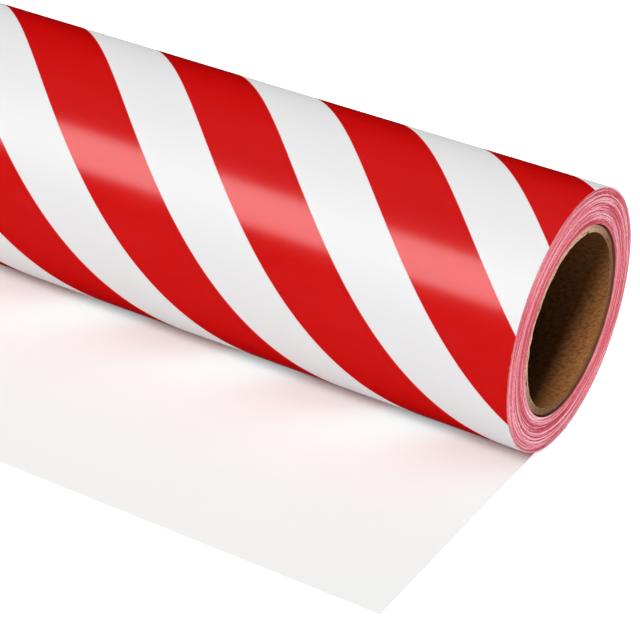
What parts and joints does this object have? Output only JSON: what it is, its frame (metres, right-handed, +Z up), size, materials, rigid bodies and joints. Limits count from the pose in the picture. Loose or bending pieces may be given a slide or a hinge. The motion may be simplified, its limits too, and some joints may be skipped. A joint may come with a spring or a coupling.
{
  "type": "wrapping paper roll",
  "caption": "Roll of diagonally striped gift wrap on a hollow board core, lying on a table with its free end pulled out flat in front of it.",
  "frame": {"origin": "on the table under the middle of the roll's axis, where the roll meets the flat sheet", "axes": "+X along the roll, +Y away from the free end of the sheet, +Z up"},
  "size_m": [0.4335, 0.1026, 0.0575],
  "materials": {
    "kraft_board": "matte",
    "tape": "satin",
    "paper_edges": "matte",
    "printed_paper": "gloss",
    "paper_back": "satin"
  },
  "bodies": {
    "leaf": {"free_leaf": "paper_back"},
    "lift_off": {"lift_off_bend": "printed_paper"},
    "roll": {"outer_turn": "printed_paper", "wound_paper": "paper_edges", "start_tape": "tape", "core_outer_ply": "kraft_board", "core_middle_ply": "kraft_board", "core_inner_ply": "kraft_board"}
  },
  "joints": [
    {"name": "roll_travel", "type": "slide", "parent": "leaf", "child": "lift_off", "axis": [0, 1, 0], "range_m": [-0.045, 0.181], "deforming": ["free_leaf"]},
    {"name": "roll_spin", "type": "hinge", "parent": "lift_off", "child": "roll", "pos_m": [0, 0, 0.02894], "axis": [1, 0, 0], "range_deg": [-360, 90]}
  ],
  "couplings": [
    {"joint": "roll_spin", "follows": "roll_travel", "rad_per_m": -34.71}
  ]
}
